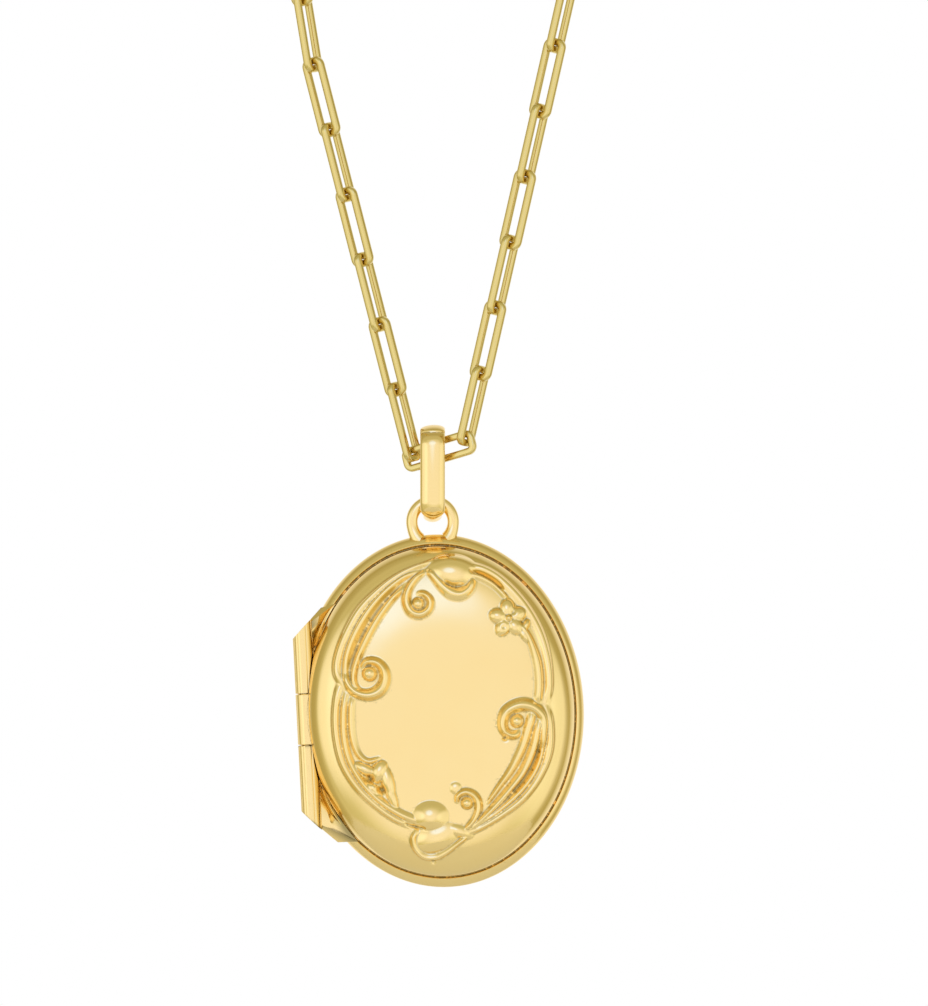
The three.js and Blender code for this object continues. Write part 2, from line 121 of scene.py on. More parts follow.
def closed_grid(points, wrap_rows):
    """Vertices and faces of rows of closed loops. Open ends are shut by a fan."""
    rows, columns = points.shape[:2]
    vertices = points.reshape(-1, 3)
    faces = grid_faces(rows, columns, wrap_rows)
    if not wrap_rows:
        start = len(vertices)
        ends = np.array([points[0].mean(axis=0), points[-1].mean(axis=0)])
        vertices = np.vstack([vertices, ends])
        top = (rows - 1) * columns
        for k in range(columns):
            beside = (k + 1) % columns
            faces.append((start, beside, k))
            faces.append((start + 1, top + k, top + beside))
    return vertices, faces


def smooth_curve(points, steps):
    """A Catmull-Rom curve through the points, with its ends carried straight on."""
    knots = np.asarray(points, float)
    knots = np.vstack([2 * knots[0] - knots[1], knots, 2 * knots[-1] - knots[-2]])
    samples = []
    for i in range(1, len(knots) - 2):
        a, b, c, d = knots[i - 1 : i + 3]
        t = np.linspace(0, 1, steps, endpoint=False)[:, None]
        samples.append(
            0.5 * (2 * b + (c - a) * t + (2 * a - 5 * b + 4 * c - d) * t**2
                   + (3 * b - a - 3 * c + d) * t**3)
        )
    return np.vstack(samples + [knots[-2:-1]])


def respace(curve, spacing):
    """The same curve with points at about this spacing along it."""
    steps = np.linalg.norm(np.diff(curve, axis=0), axis=1)
    along = np.concatenate([[0], np.cumsum(steps)])
    count = max(2, int(round(along[-1] / spacing)) + 1)
    at = np.linspace(0, along[-1], count)
    return np.stack([np.interp(at, along, curve[:, k]) for k in range(curve.shape[1])], axis=1)


def round_section(width, height, count, squareness=2.0):
    """A closed section, an ellipse at 2 and squarer above it."""
    angle = np.arange(count) * 2 * math.pi / count
    cosine, sine = np.cos(angle), np.sin(angle)
    power = 2 / squareness
    return np.stack(
        [
            np.sign(cosine) * np.abs(cosine) ** power * width / 2,
            np.sign(sine) * np.abs(sine) ** power * height / 2,
        ],
        axis=1,
    )


def square_section(width, corner, per_corner=5):
    """A closed square section with rounded corners."""
    inner = width / 2 - corner
    points = []
    for quarter, (sx, sy) in enumerate(((1, 1), (-1, 1), (-1, -1), (1, -1))):
        for angle in np.linspace(0, math.pi / 2, per_corner):
            turn = quarter * math.pi / 2 + angle
            points.append((sx * inner + corner * math.cos(turn), sy * inner + corner * math.sin(turn)))
    return np.array(points)


# ---- Materials ----

CLOUD_SCALE = 320
GRAIN_HEIGHT = 0.00002
WARM_GREEN, WARM_BLUE = 0.955, 0.86
CREASE_DARKEST, CREASE_CLEAR = 0.44, 0.494  # pointiness where the crease tarnish and painted shade are full, and where they end
# the dark olive that creases are mixed towards: partly tarnish, partly painted shade
TARNISH_AND_SHADE_COLOUR = (0.33, 0.27, 0.13, 1)


def gold_material(name, colour, roughness, spread, bump, bump_scale, tarnish_and_shade=0.0):
    """Polished gold plate: cloudy gloss, hairline wear, a warmer tint in places, and creases darkened by
    tarnish and painted shade.
    """
    material = bpy.data.materials.new(name)
    material.use_nodes = True
    nodes, links = material.node_tree.nodes, material.node_tree.links
    shader = nodes["Principled BSDF"]
    shader.inputs["Metallic"].default_value = 1.0
    place = nodes.new("ShaderNodeTexCoord")
    cloud = nodes.new("ShaderNodeTexNoise")
    cloud.inputs["Scale"].default_value = CLOUD_SCALE
    cloud.inputs["Detail"].default_value = 5
    links.new(place.outputs["Object"], cloud.inputs["Vector"])
    gloss = nodes.new("ShaderNodeMapRange")
    gloss.inputs["From Min"].default_value = 0.3
    gloss.inputs["From Max"].default_value = 0.7
    gloss.inputs["To Min"].default_value = roughness - spread
    gloss.inputs["To Max"].default_value = roughness + spread
    links.new(cloud.outputs["Fac"], gloss.inputs["Value"])
    links.new(gloss.outputs["Result"], shader.inputs["Roughness"])
    tint = nodes.new("ShaderNodeMix")
    tint.data_type = "RGBA"
    tint.inputs["A"].default_value = (*colour, 1)
    tint.inputs["B"].default_value = (colour[0], colour[1] * WARM_GREEN, colour[2] * WARM_BLUE, 1)
    links.new(cloud.outputs["Fac"], tint.inputs["Factor"])
    # concave places (low pointiness) get a darker colour: part tarnish in the hollows, part painted shade
    # standing in for the occlusion in creases and the seam
    form = nodes.new("ShaderNodeNewGeometry")
    crease = nodes.new("ShaderNodeMapRange")
    crease.inputs["From Min"].default_value = CREASE_DARKEST
    crease.inputs["From Max"].default_value = CREASE_CLEAR
    crease.inputs["To Min"].default_value = tarnish_and_shade
    crease.inputs["To Max"].default_value = 0
    links.new(form.outputs["Pointiness"], crease.inputs["Value"])
    tarnish_and_shade_mix = nodes.new("ShaderNodeMix")
    tarnish_and_shade_mix.data_type = "RGBA"
    tarnish_and_shade_mix.inputs["B"].default_value = TARNISH_AND_SHADE_COLOUR
    links.new(crease.outputs["Result"], tarnish_and_shade_mix.inputs["Factor"])
    links.new(tint.outputs["Result"], tarnish_and_shade_mix.inputs["A"])
    links.new(tarnish_and_shade_mix.outputs["Result"], shader.inputs["Base Color"])
    grain = nodes.new("ShaderNodeTexNoise")
    grain.inputs["Scale"].default_value = bump_scale
    grain.inputs["Detail"].default_value = 3
    links.new(place.outputs["Object"], grain.inputs["Vector"])
    relief = nodes.new("ShaderNodeBump")
    relief.inputs["Strength"].default_value = bump
    relief.inputs["Distance"].default_value = GRAIN_HEIGHT
    links.new(grain.outputs["Fac"], relief.inputs["Height"])
    links.new(relief.outputs["Normal"], shader.inputs["Normal"])
    return material


GOLD = (0.95, 0.742, 0.365)
# the chain's gold is a darker copy of the case's gold, painted shade for how dull the links look under
# this light; the chain is meant as the same metal
SHADED_CHAIN_GOLD = (0.75, 0.61, 0.26)
# the case's gold darkens its creases and seam with tarnish and painted shade; the last value sets how
# strongly
gold = gold_material("polished_gold", GOLD, 0.13, 0.03, 0.12, 900, 0.88)
chain_gold = gold_material("chain_gold", SHADED_CHAIN_GOLD, 0.17, 0.04, 0.18, 1500)
satin_gold = gold_material("satin_gold", (0.92, 0.71, 0.34), 0.3, 0.05, 0.3, 2600)


def card_material():
    """Uncoated ivory card with a paper tooth."""
    material = bpy.data.materials.new("ivory_card")
    material.use_nodes = True
    nodes, links = material.node_tree.nodes, material.node_tree.links
    shader = nodes["Principled BSDF"]
    shader.inputs["Roughness"].default_value = 0.85
    place = nodes.new("ShaderNodeTexCoord")
    fibre = nodes.new("ShaderNodeTexNoise")
    fibre.inputs["Scale"].default_value = 1800
    fibre.inputs["Detail"].default_value = 6
    links.new(place.outputs["Object"], fibre.inputs["Vector"])
    shade = nodes.new("ShaderNodeMix")
    shade.data_type = "RGBA"
    shade.inputs["A"].default_value = (0.80, 0.76, 0.66, 1)
    shade.inputs["B"].default_value = (0.90, 0.87, 0.79, 1)
    links.new(fibre.outputs["Fac"], shade.inputs["Factor"])
    links.new(shade.outputs["Result"], shader.inputs["Base Color"])
    tooth = nodes.new("ShaderNodeBump")
    tooth.inputs["Strength"].default_value = 0.4
    tooth.inputs["Distance"].default_value = 0.00003
    links.new(fibre.outputs["Fac"], tooth.inputs["Height"])
    links.new(tooth.outputs["Normal"], shader.inputs["Normal"])
    return material


def window_material():
    """Clear acetate with a very faint haze."""
    material = bpy.data.materials.new("clear_acetate")
    material.use_nodes = True
    nodes, links = material.node_tree.nodes, material.node_tree.links
    shader = nodes["Principled BSDF"]
    shader.inputs["Transmission Weight"].default_value = 1.0
    shader.inputs["IOR"].default_value = 1.2
    shader.inputs["Base Color"].default_value = (0.97, 0.98, 0.97, 1)
    place = nodes.new("ShaderNodeTexCoord")
    haze = nodes.new("ShaderNodeTexNoise")
    haze.inputs["Scale"].default_value = 500
    links.new(place.outputs["Object"], haze.inputs["Vector"])
    gloss = nodes.new("ShaderNodeMapRange")
    gloss.inputs["To Min"].default_value = 0.02
    gloss.inputs["To Max"].default_value = 0.07
    links.new(haze.outputs["Fac"], gloss.inputs["Value"])
    links.new(gloss.outputs["Result"], shader.inputs["Roughness"])
    return material


ivory_card = card_material()
acetate = window_material()

# ---- The relief stamped into the front cover, in the case's own millimetres ----

# A strand is (points, half widths at its start, middle and end, height).
STRANDS = [
    # left side: the wreath's outer edge, then the strands inside it
    ([(0.4, 11.5), (-0.5, 11.15), (-2.2, 10.55), (-3.8, 9.6), (-5.6, 8.0), (-6.8, 6.1), (-7.45, 4.5),
      (-7.6, 3.4), (-7.25, 2.5), (-6.9, 1.9)], (0.12, 0.3, 0.3), 0.36),
    ([(-7.3, 2.9), (-7.7, 1.4), (-7.9, -0.3), (-7.8, -2.1), (-7.4, -3.7), (-6.5, -5.3), (-5.2, -6.7),
      (-3.8, -7.8), (-2.3, -8.55)], (0.28, 0.28, 0.22), 0.34),
    ([(-7.0, 2.0), (-7.25, 0.3), (-7.3, -1.5), (-7.0, -3.2), (-6.15, -4.9), (-4.9, -6.35),
      (-3.4, -7.45), (-1.6, -8.3)], (0.25, 0.25, 0.3), 0.42),
    ([(-6.55, 1.5), (-6.7, -0.1), (-6.65, -1.6), (-6.3, -2.8), (-5.6, -3.4), (-4.6, -3.2)],
     (0.24, 0.24, 0.14), 0.3),
    ([(-1.0, 10.7), (-2.4, 10.1), (-3.8, 9.1), (-5.05, 7.8), (-6.1, 6.2), (-6.75, 4.7), (-6.95, 3.4),
      (-6.8, 2.4), (-6.3, 1.8)], (0.16, 0.24, 0.2), 0.34),
    ([(-2.3, 9.5), (-3.4, 8.4), (-4.5, 7.0), (-5.35, 5.6), (-6.0, 4.3), (-6.35, 3.2),
      (-6.3, 2.3), (-5.8, 1.75)], (0.2, 0.26, 0.2), 0.46),
    # right side, from the top heart down to the right spiral
    ([(2.3, 10.75), (3.3, 10.65), (4.6, 9.95), (5.8, 8.8), (6.9, 7.3), (7.75, 5.5), (8.2, 3.5),
      (8.25, 1.6), (7.9, 0.1)], (0.3, 0.3, 0.28), 0.36),
    ([(6.2, 6.4), (6.9, 5.2), (7.4, 3.5), (7.5, 1.9), (7.3, 0.2)], (0.16, 0.3, 0.3), 0.44),
    # right side, below the right spiral
    ([(7.85, 0.3), (8.15, -1.3), (8.0, -3.3), (7.2, -5.1), (5.9, -6.7), (4.2, -7.9), (2.5, -8.8),
      (1.2, -9.3)], (0.3, 0.26, 0.2), 0.36),
    ([(6.95, 0.0), (6.8, -0.7), (6.5, -1.6), (6.0, -2.9), (5.1, -4.5), (4.0, -5.9), (3.1, -7.1)],
     (0.36, 0.28, 0.1), 0.4),
    ([(7.55, -0.4), (7.4, -1.0), (7.2, -1.7), (6.8, -3.1), (5.95, -4.8), (4.75, -6.2), (3.1, -7.8),
      (1.5, -9.05)], (0.3, 0.32, 0.16), 0.46),
    ([(7.65, -2.6), (7.0, -4.5), (5.8, -6.1), (4.1, -7.5), (2.3, -8.6), (1.3, -9.1)],
     (0.14, 0.2, 0.14), 0.34),
    # stem behind the upper blossom
    ([(2.5, 10.2), (3.5, 9.9), (4.6, 9.15), (5.4, 8.2)], (0.26, 0.2, 0.16), 0.34),
    # rolled rims of the two hearts
    ([(-0.5, 10.75), (0.1, 10.05), (0.7, 9.35), (1.35, 8.85), (2.05, 8.75), (2.7, 9.2), (2.95, 9.95)],
     (0.2, 0.42, 0.24), 0.42),
    ([(-2.1, -8.7), (-2.5, -9.3), (-2.35, -10.1), (-1.75, -10.7), (-0.9, -10.8), (0.0, -10.4),
      (0.8, -9.85), (1.7, -9.3)], (0.2, 0.28, 0.14), 0.42),
]

# A spiral is (points from its free end to its heart, half widths, height).
SPIRALS = [
    ([(-7.0, 3.6), (-6.85, 2.6), (-6.3, 1.85), (-5.4, 1.55), (-4.55, 1.8), (-4.05, 2.5),
      (-4.05, 3.3), (-4.55, 3.95), (-5.3, 4.05), (-5.8, 3.6)], (0.24, 0.42, 0.22), 0.55),
    ([(-0.6, 10.6), (-1.4, 10.0), (-2.0, 9.15), (-2.1, 8.3), (-1.75, 7.6), (-1.1, 7.4),
      (-0.5, 7.75), (-0.35, 8.4), (-0.8, 8.9), (-1.35, 8.9)], (0.16, 0.33, 0.18), 0.46),
    ([(7.3, -3.4), (7.6, -2.1), (7.65, -0.8), (7.0, 0.0), (6.0, 0.25), (5.0, -0.15), (4.6, -0.95),
      (4.75, -1.7), (5.35, -2.0), (5.95, -1.75)], (0.22, 0.44, 0.26), 0.58),
    ([(1.3, -9.0), (2.15, -8.1), (2.5, -7.2), (2.25, -6.4), (1.6, -6.05), (1.0, -6.3), (0.85, -6.9)],
     (0.14, 0.3, 0.16), 0.44),
]

# A bead is (u, v, radius, height).
BEADS = [
    (-5.15, 3.15, 0.56, 0.55),
    (-1.25, 8.2, 0.46, 0.46),
    (5.7, -0.95, 0.5, 0.5),
    (1.65, -6.9, 0.46, 0.48),
    (0.85, -5.75, 0.45, 0.16),
]

# A bulge is (u, v, half length, half width, turn in degrees, height).
BULGES = [
    (1.5, 10.6, 1.95, 1.2, -8, 0.62),
    (-1.15, -7.8, 1.4, 1.2, 0, 0.62),
    (-0.75, -9.45, 1.9, 1.15, 18, 0.44),
    (0.9, -9.0, 1.2, 0.5, -20, 0.3),
]
BLOSSOM = (5.45, 6.75)
PETALS = [
    (BLOSSOM[0] + 0.78 * math.cos(angle), BLOSSOM[1] + 0.78 * math.sin(angle), 0.72, 0.56,
     math.degrees(angle), 0.42)
    for angle in (math.radians(20 + 72 * k) for k in range(5))
] + [(6.75, 6.2, 0.5, 0.25, 60, 0.34), (6.55, 5.4, 0.6, 0.24, 120, 0.3)]
LILY = [
    (-5.85, -4.0, 0.95, 0.42, 150, 0.4),
    (-4.85, -4.25, 0.95, 0.62, 60, 0.5),
    (-4.2, -5.0, 1.3, 0.5, 102, 0.42),
    (-3.95, -6.1, 1.2, 0.36, 106, 0.34),
    (-5.25, -5.5, 0.85, 0.34, 132, 0.36),
]
BLOSSOM_BEAD = (*BLOSSOM, 0.3, 0.55)

# A groove is (points, half width, depth). A pit is (u, v, radius, depth).
GROOVES = [
    ([(2.6, 10.42), (3.5, 10.2), (4.5, 9.6), (5.2, 8.8)], 0.13, 0.42),
    ([(-2.1, 9.95), (-3.6, 8.75), (-4.75, 7.4), (-5.7, 5.9), (-6.35, 4.5), (-6.62, 3.5)], 0.12, 0.24),
    ([(7.55, -2.1), (6.95, -3.8), (5.95, -5.35), (4.6, -6.75)], 0.13, 0.28),
    ([(-3.2, -8.15), (-2.4, -8.5), (-1.5, -8.65)], 0.1, 0.26),
    ([(0.75, 9.75), (1.4, 9.4), (2.3, 9.45)], 0.12, 0.2),
]
PITS = [
    (-5.5, -4.75, 0.3, 0.42),
    (-4.75, -5.65, 0.28, 0.42),
    (4.75, -2.15, 0.2, 0.25),
    (-1.1, -11.25, 0.2, 0.2),
    (5.05, 6.1, 0.16, 0.15),
    (5.8, 7.1, 0.14, 0.12),
]
STRAND_WIDENING = 1.3
STRAND_LOWERING = 0.9
STRAND_SPACING = 0.14  # between the points that a strand's distance is measured to
STRAND_MARGIN = 0.9  # how far round a strand its height is worked out
STRAND_ROUNDNESS = 1.3
STRAND_TAPER = 8  # its ends rise over one part in this many of its length
GROOVE_TAPER = 6
SOFTENING_PASSES = 2


def near(u, v, low, high, margin):
    """The points within a box, with a margin."""
    return (
        (u > low[0] - margin) & (u < high[0] + margin)
        & (v > low[1] - margin) & (v < high[1] + margin)
    )


def distance_to(u, v, line):
    """Distance from each point to a polyline, and how far along it from 0 to 1 the nearest place is."""
    best = np.full(u.shape, np.inf)
    place = np.zeros(u.shape)
    count = len(line) - 1
    for k in range(count):
        a, d = line[k], line[k + 1] - line[k]
        t = np.clip(((u - a[0]) * d[0] + (v - a[1]) * d[1]) / max(d @ d, 1e-12), 0, 1)
        gap = np.hypot(u - a[0] - t * d[0], v - a[1] - t * d[1])
        closer = gap < best
        best = np.where(closer, gap, best)
        place = np.where(closer, (k + t) / count, place)
    return best, place


def add_ridge(height, u, v, points, widths, tall):
    """A softly rounded strand that tapers to its ends."""
    line = respace(smooth_curve(points, 8), STRAND_SPACING)
    inside = near(u, v, line.min(axis=0), line.max(axis=0), STRAND_MARGIN)
    gap, place = distance_to(u[inside], v[inside], line)
    half = np.interp(place, (0, 0.5, 1), widths) * STRAND_WIDENING
    across = np.clip(gap / half, 0, 1)
    taper = np.sin(np.clip(np.minimum(place, 1 - place) * STRAND_TAPER, 0, 1) * math.pi / 2)
    ridge = tall * STRAND_LOWERING * taper * np.cos(across * math.pi / 2) ** STRAND_ROUNDNESS
    height[inside] = np.maximum(height[inside], ridge)


def add_bump(height, u, v, centre, half_long, half_wide, turn, tall, steepness=0.7):
    """An oval bump, steeper at its edge the nearer steepness is to 0.5."""
    du, dv = u - centre[0], v - centre[1]
    c, s = math.cos(math.radians(turn)), math.sin(math.radians(turn))
    along, across = (du * c + dv * s) / half_long, (dv * c - du * s) / half_wide
    swell = tall * np.clip(1 - along**2 - across**2, 0, 1) ** steepness
    np.maximum(height, swell, out=height)


def relief(u, v):
    """How far the stamped ornament stands out of the cover at each point, in mm."""
    height = np.zeros(u.shape)
    for points, widths, tall in STRANDS + SPIRALS:
        add_ridge(height, u, v, points, widths, tall)
    for bu, bv, half_long, half_wide, turn, tall in BULGES:
        add_bump(height, u, v, (bu, bv), half_long, half_wide, turn, tall, 1.0)
    for bu, bv, radius, tall in BEADS + [BLOSSOM_BEAD]:
        add_bump(height, u, v, (bu, bv), radius, radius, 0, tall)
    for pu, pv, half_long, half_wide, turn, tall in PETALS + LILY:
        add_bump(height, u, v, (pu, pv), half_long, half_wide, turn, tall)
    for points, half, depth in GROOVES:
        gap, place = distance_to(u, v, smooth_curve(points, 6))
        fade = np.clip(np.minimum(place, 1 - place) * GROOVE_TAPER, 0, 1)
        height -= depth * fade * np.exp(-((gap / half) ** 2))
    for pu, pv, radius, depth in PITS:
        height -= depth * np.exp(-((u - pu) ** 2 + (v - pv) ** 2) / radius**2)
    return height


def soften(height):
    """Each height mixed with its neighbours along both directions of the grid, as a pressed sheet is."""
    for _ in range(SOFTENING_PASSES):
        height = (np.roll(height, 1, axis=1) + 2 * height + np.roll(height, -1, axis=1)) / 4
        padded = np.pad(height, ((1, 1), (0, 0)), mode="edge")
        height = (padded[:-2] + 2 * padded[1:-1] + padded[2:]) / 4
    return height


# ---- Case ----

COLUMNS = 960
RELIEF_START = 4.6  # the cover's middle inside this radius is plain, so its rows lie further apart
BACK_FACE_Y = 3.05
BACK_FLOOR_Y = 2.6
RIM_BULGE = 0.07
INSERT_RADIUS = 10.85
WINDOW_FACE, WINDOW_BACK = 0.5, 0.75
CARD_FACE, CARD_BACK = 0.82, 1.04
BEZEL_START, BEZEL_END = -125.6, 133.4  # degrees from the right, either side of the hinge
COVER_FRONT = [(0, -2.85), (4.0, -2.82), (7.5, -2.72), (9.7, -2.42), (11.1, -1.9), (11.9, -1.25),
               (12.33, -0.6), (12.42, -0.25), (12.38, -0.1)]
COVER_INSIDE = [(0, -2.4), (5, -2.35), (9.4, -2.05), (11.1, -1.5), (11.9, -0.8), (12.0, -0.12)]
BACK_OUTSIDE = [(12.4, 0.1), (12.46, 0.33), (12.52, 0.5), (12.59, 0.35), (12.66, 0.27), (12.9, 0.44),
                (13.17, 0.76), (13.32, 1.15), (13.2, 1.75), (12.6, 2.35), (11.4, 2.82), (9.5, 3.04)]
BACK_INSIDE = [(9.6, 2.6), (11.7, 2.1), (12.45, 1.3), (12.2, 0.6), (12.0, 0.12)]
HINGE_CLEARANCE = 0.84
HINGE_REACH = 9.6


def profile_normals(profile):
    """Unit normals of a profile in (radius, y), on its right-hand side."""
    tangent = np.gradient(profile, axis=0)
    normal = np.stack([tangent[:, 1], -tangent[:, 0]], axis=1)
    return normal / np.linalg.norm(normal, axis=1)[:, None]


def oval_grid(profile, columns=COLUMNS):
    """u, y and v of a profile turned about the case's axis and narrowed to its oval."""
    angle = np.arange(columns) * 2 * math.pi / columns
    radius, y = profile[:, :1], profile[:, 1:]
    u = radius * np.cos(angle) * OVAL_RATIO
    v = radius * np.sin(angle)
    return u, np.broadcast_to(y, u.shape).copy(), v


def clear_hinge(u, y, v):
    """Hollows a shell's edge round the hinge's knuckles."""
    du = u - HINGE_U
    gap = np.hypot(du, y)
    within = (gap < HINGE_CLEARANCE) & (np.abs(v) < HINGE_REACH)
    push = np.where(within, HINGE_CLEARANCE / np.maximum(gap, 1e-6), 1)
    return HINGE_U + du * push, y * push, v


def oval_shell(name, body, node, profile, material, slot, lift=None, sharp=None):
    """A closed shell from a profile that starts and ends near the case's axis."""
    u, y, v = oval_grid(profile)
    if lift is not None:
        u, y, v = lift(u, y, v)
    u, y, v = clear_hinge(u, y, v)
    vertices, faces = closed_grid(case_points(u, y, v), False)
    return mesh_piece(name, vertices, faces, material, body, node, slot, sharp)


def rounded_rim(outer, inner, steps=7):
    """The shell's edge, rounded from its outer surface to its inner one."""
    a, b = np.array(outer, float), np.array(inner, float)
    middle, half = (a + b) / 2, np.linalg.norm(a - b) / 2
    side = 1 if outer[1] > 0 else -1
    turn = np.linspace(0, math.pi, steps)
    return np.stack(
        [middle[0] + half * np.cos(turn), middle[1] - side * RIM_BULGE * np.sin(turn)], axis=1
    )


def front_cover():
    """The stamped cover, whose rows lie closer together where the relief is."""
    front = respace(smooth_curve(COVER_FRONT, 24), 0.02)
    fine = respace(front[front[:, 0] > RELIEF_START], 0.05)
    coarse = respace(front[(front[:, 0] > 0.05) & (front[:, 0] <= RELIEF_START)], 0.25)
    outside = np.vstack([coarse, fine])
    inside = respace(smooth_curve(COVER_INSIDE, 8)[1:], 0.6)
    rim = rounded_rim(outside[-1], inside[-1])
    profile = np.vstack([outside, rim[1:-1], inside[::-1]])
    normals = profile_normals(profile)

    def stamp(u, y, v):
        rows = len(outside)
        height = np.zeros(u.shape)
        height[:rows] = soften(relief(u[:rows], v[:rows]))
        radius = np.hypot(u / OVAL_RATIO, v)
        scale = 1 + normals[:, :1] * height / radius
        return u * scale, y + normals[:, 1:] * height, v * scale

    return oval_shell("cover_shell", "cover", "front_cover", profile, gold, "gold", stamp)


def back_shell():
    """The deeper back shell, with a channel at the seam."""
    outside = respace(smooth_curve(BACK_OUTSIDE, 12), 0.05)
    flat = np.array([[radius, BACK_FACE_Y] for radius in (8.6, 7.0, 5.0, 2.5, 0.1)])
    floor = np.array([[radius, BACK_FLOOR_Y] for radius in (0.1, 3.0, 6.0, 9.0)])
    inside = respace(smooth_curve(BACK_INSIDE, 10), 0.2)
    rim = rounded_rim(inside[-1], outside[0])
    profile = np.vstack([floor, inside, rim[1:-1], outside, flat])
    return oval_shell("back_shell_skin", "case", "back_shell", profile, gold, "gold", sharp=50)


def turned_ring(name, body, node, profile, material, slot, steps=0.12):
    """A closed ring of rounded section about the case's axis."""
    loop = np.vstack([profile, profile[:1]])
    outline = respace(np.array(loop, float), steps)[:-1]
    u, y, v = oval_grid(outline, 360)
    points = case_points(u, y, v)
    vertices, faces = closed_grid(points, True)
    return mesh_piece(name, vertices, faces, material, body, node, slot, 35)


def oval_disc(name, body, node, face, back, material, slot):
    """A thin oval sheet with softened edges, which fills a photo frame."""
    radius = INSERT_RADIUS
    edge = 0.04 * (1 if back > face else -1)
    profile = [(0.1, face), (radius * 0.5, face), (radius - 0.05, face), (radius, face + edge),
               (radius, back - edge), (radius - 0.05, back), (radius * 0.5, back), (0.1, back)]
    u, y, v = oval_grid(np.array(profile, float), 240)
    vertices, faces = closed_grid(case_points(u, y, v), False)
    return mesh_piece(name, vertices, faces, material, body, node, slot, 30)


def photo_frame(name, body, node, side):
    """A drawn rim: a rolled bead round its opening, a dished face and a skirt that grips the shell."""
    profile = [(9.15, 0.42), (8.95, 0.38), (8.9, 0.27), (8.97, 0.15), (9.15, 0.12), (9.32, 0.16),
               (9.5, 0.2), (10.6, 0.16), (11.1, 0.12), (11.28, 0.15), (11.35, 0.24), (11.35, 1.2),
               (11.1, 1.2), (11.05, 0.42)]
    sided = [(radius, side * y) for radius, y in profile]
    return turned_ring(name, body, node, sided, satin_gold, "inner_gold")


def snap_bezel():
    """The raised rim that the cover snaps over, open on the hinge side."""
    profile = [(11.55, 1.3), (11.55, -0.62), (11.6, -0.72), (11.69, -0.75), (11.78, -0.72),
               (11.83, -0.6), (11.83, -0.35), (11.8, -0.2), (11.83, 0.0), (11.83, 1.3)]
    first, last = math.radians(BEZEL_START), math.radians(BEZEL_END)
    rows = []
    for angle in np.linspace(first, last, 280):
        rows.append([
            case_points(r * math.cos(angle) * OVAL_RATIO, y, r * math.sin(angle)) for r, y in profile
        ])
    vertices, faces = closed_grid(np.array(rows), False)
    return mesh_piece(
        "snap_bezel_rim", vertices, faces, satin_gold, "case", "snap_bezel", "inner_gold", 40
    )


front_cover()
back_shell()
snap_bezel()
photo_frame("cover_frame_rim", "cover", "cover_photo_frame", -1)
photo_frame("back_frame_rim", "case", "back_photo_frame", 1)
oval_disc("cover_pane", "cover", "cover_window", -WINDOW_FACE, -WINDOW_BACK, acetate, "clear_window")
oval_disc("back_pane", "case", "back_window", WINDOW_FACE, WINDOW_BACK, acetate, "clear_window")
oval_disc("cover_card", "cover", "cover_photo_card", -CARD_FACE, -CARD_BACK, ivory_card, "blank_card")
oval_disc("back_card", "case", "back_photo_card", CARD_FACE, CARD_BACK, ivory_card, "blank_card")

# ---- Hinge ----

KNUCKLE_RADIUS = 0.75
PIN_RADIUS = 0.3
HINGE_EDGE = HINGE_U - KNUCKLE_RADIUS - 0.1
LEAF_SLANT = 2.6
LEAF_BACK = 0.7
WEB_FRONT = 0.42
WEB_REACH = 0.5  # how far a leaf's web runs in over the shell's flank
FLANK_RADIUS = 13.0
UPPER_LEAF = (1.86, 8.5)  # its end beside the middle knuckle, and its far end
LOWER_LEAF = (-2.06, -9.5)
MIDDLE_LOW, MIDDLE_HIGH = -2.0, 1.8
PIN_LOW, PIN_HIGH = -6.95, 5.95
END_EASE = 0.94  # the size of a knuckle's very end


def leaf_section(count=90):
    """Section of a leaf in (u, y): a tube rolled round the pin, with its web towards the shell."""
    back = math.asin(LEAF_BACK / KNUCKLE_RADIUS)
    turn = np.linspace(back, 2 * math.pi + math.asin(WEB_FRONT / KNUCKLE_RADIUS), count)
    roll = np.full(count, KNUCKLE_RADIUS)
    for groove, depth in ((212, 0.05), (238, 0.035), (292, 0.045)):
        roll *= 1 - depth * np.exp(-(((turn - math.radians(groove)) / 0.07) ** 2))
    return np.stack([HINGE_U + roll * np.cos(turn), roll * np.sin(turn)], axis=1)


def flank(v):
    """How far left the shell's flank is at height v."""
    return -OVAL_RATIO * np.sqrt(FLANK_RADIUS**2 - np.asarray(v, float) ** 2)


def hinge_leaf(name, node, inner, outer):
    """A leaf with its rolled knuckles, slanted at its far end."""
    away = math.copysign(1, outer - inner)
    section = leaf_section()
    rows = []
    for t in np.concatenate([[0, 0.006], np.linspace(0.02, 0.98, 40), [0.994, 1]]):
        shrink = END_EASE if t in (0, 1) else 1
        ring = []
        for u, y in section:
            pu, py = HINGE_U + (u - HINGE_U) * shrink, y * shrink
            limit = outer - away * max(0, HINGE_EDGE + LEAF_SLANT - pu)
            ring.append((pu, py, inner + t * (limit - inner)))
        v = inner + t * (outer - inner)
        start = HINGE_U + KNUCKLE_RADIUS
        web = max(float(flank(v)), start) + WEB_REACH
        for pu, py in (((start + web) / 2 - 0.2, 0.58), (web, 0.2), (web, LEAF_BACK)):
            limit = outer - away * max(0, HINGE_EDGE + LEAF_SLANT - pu)
            ring.append((pu, py, inner + t * (limit - inner)))
        rows.append([case_points(*point) for point in ring])
    vertices, faces = closed_grid(np.array(rows), False)
    return mesh_piece(name, vertices, faces, gold, "case", node, "gold", 35)


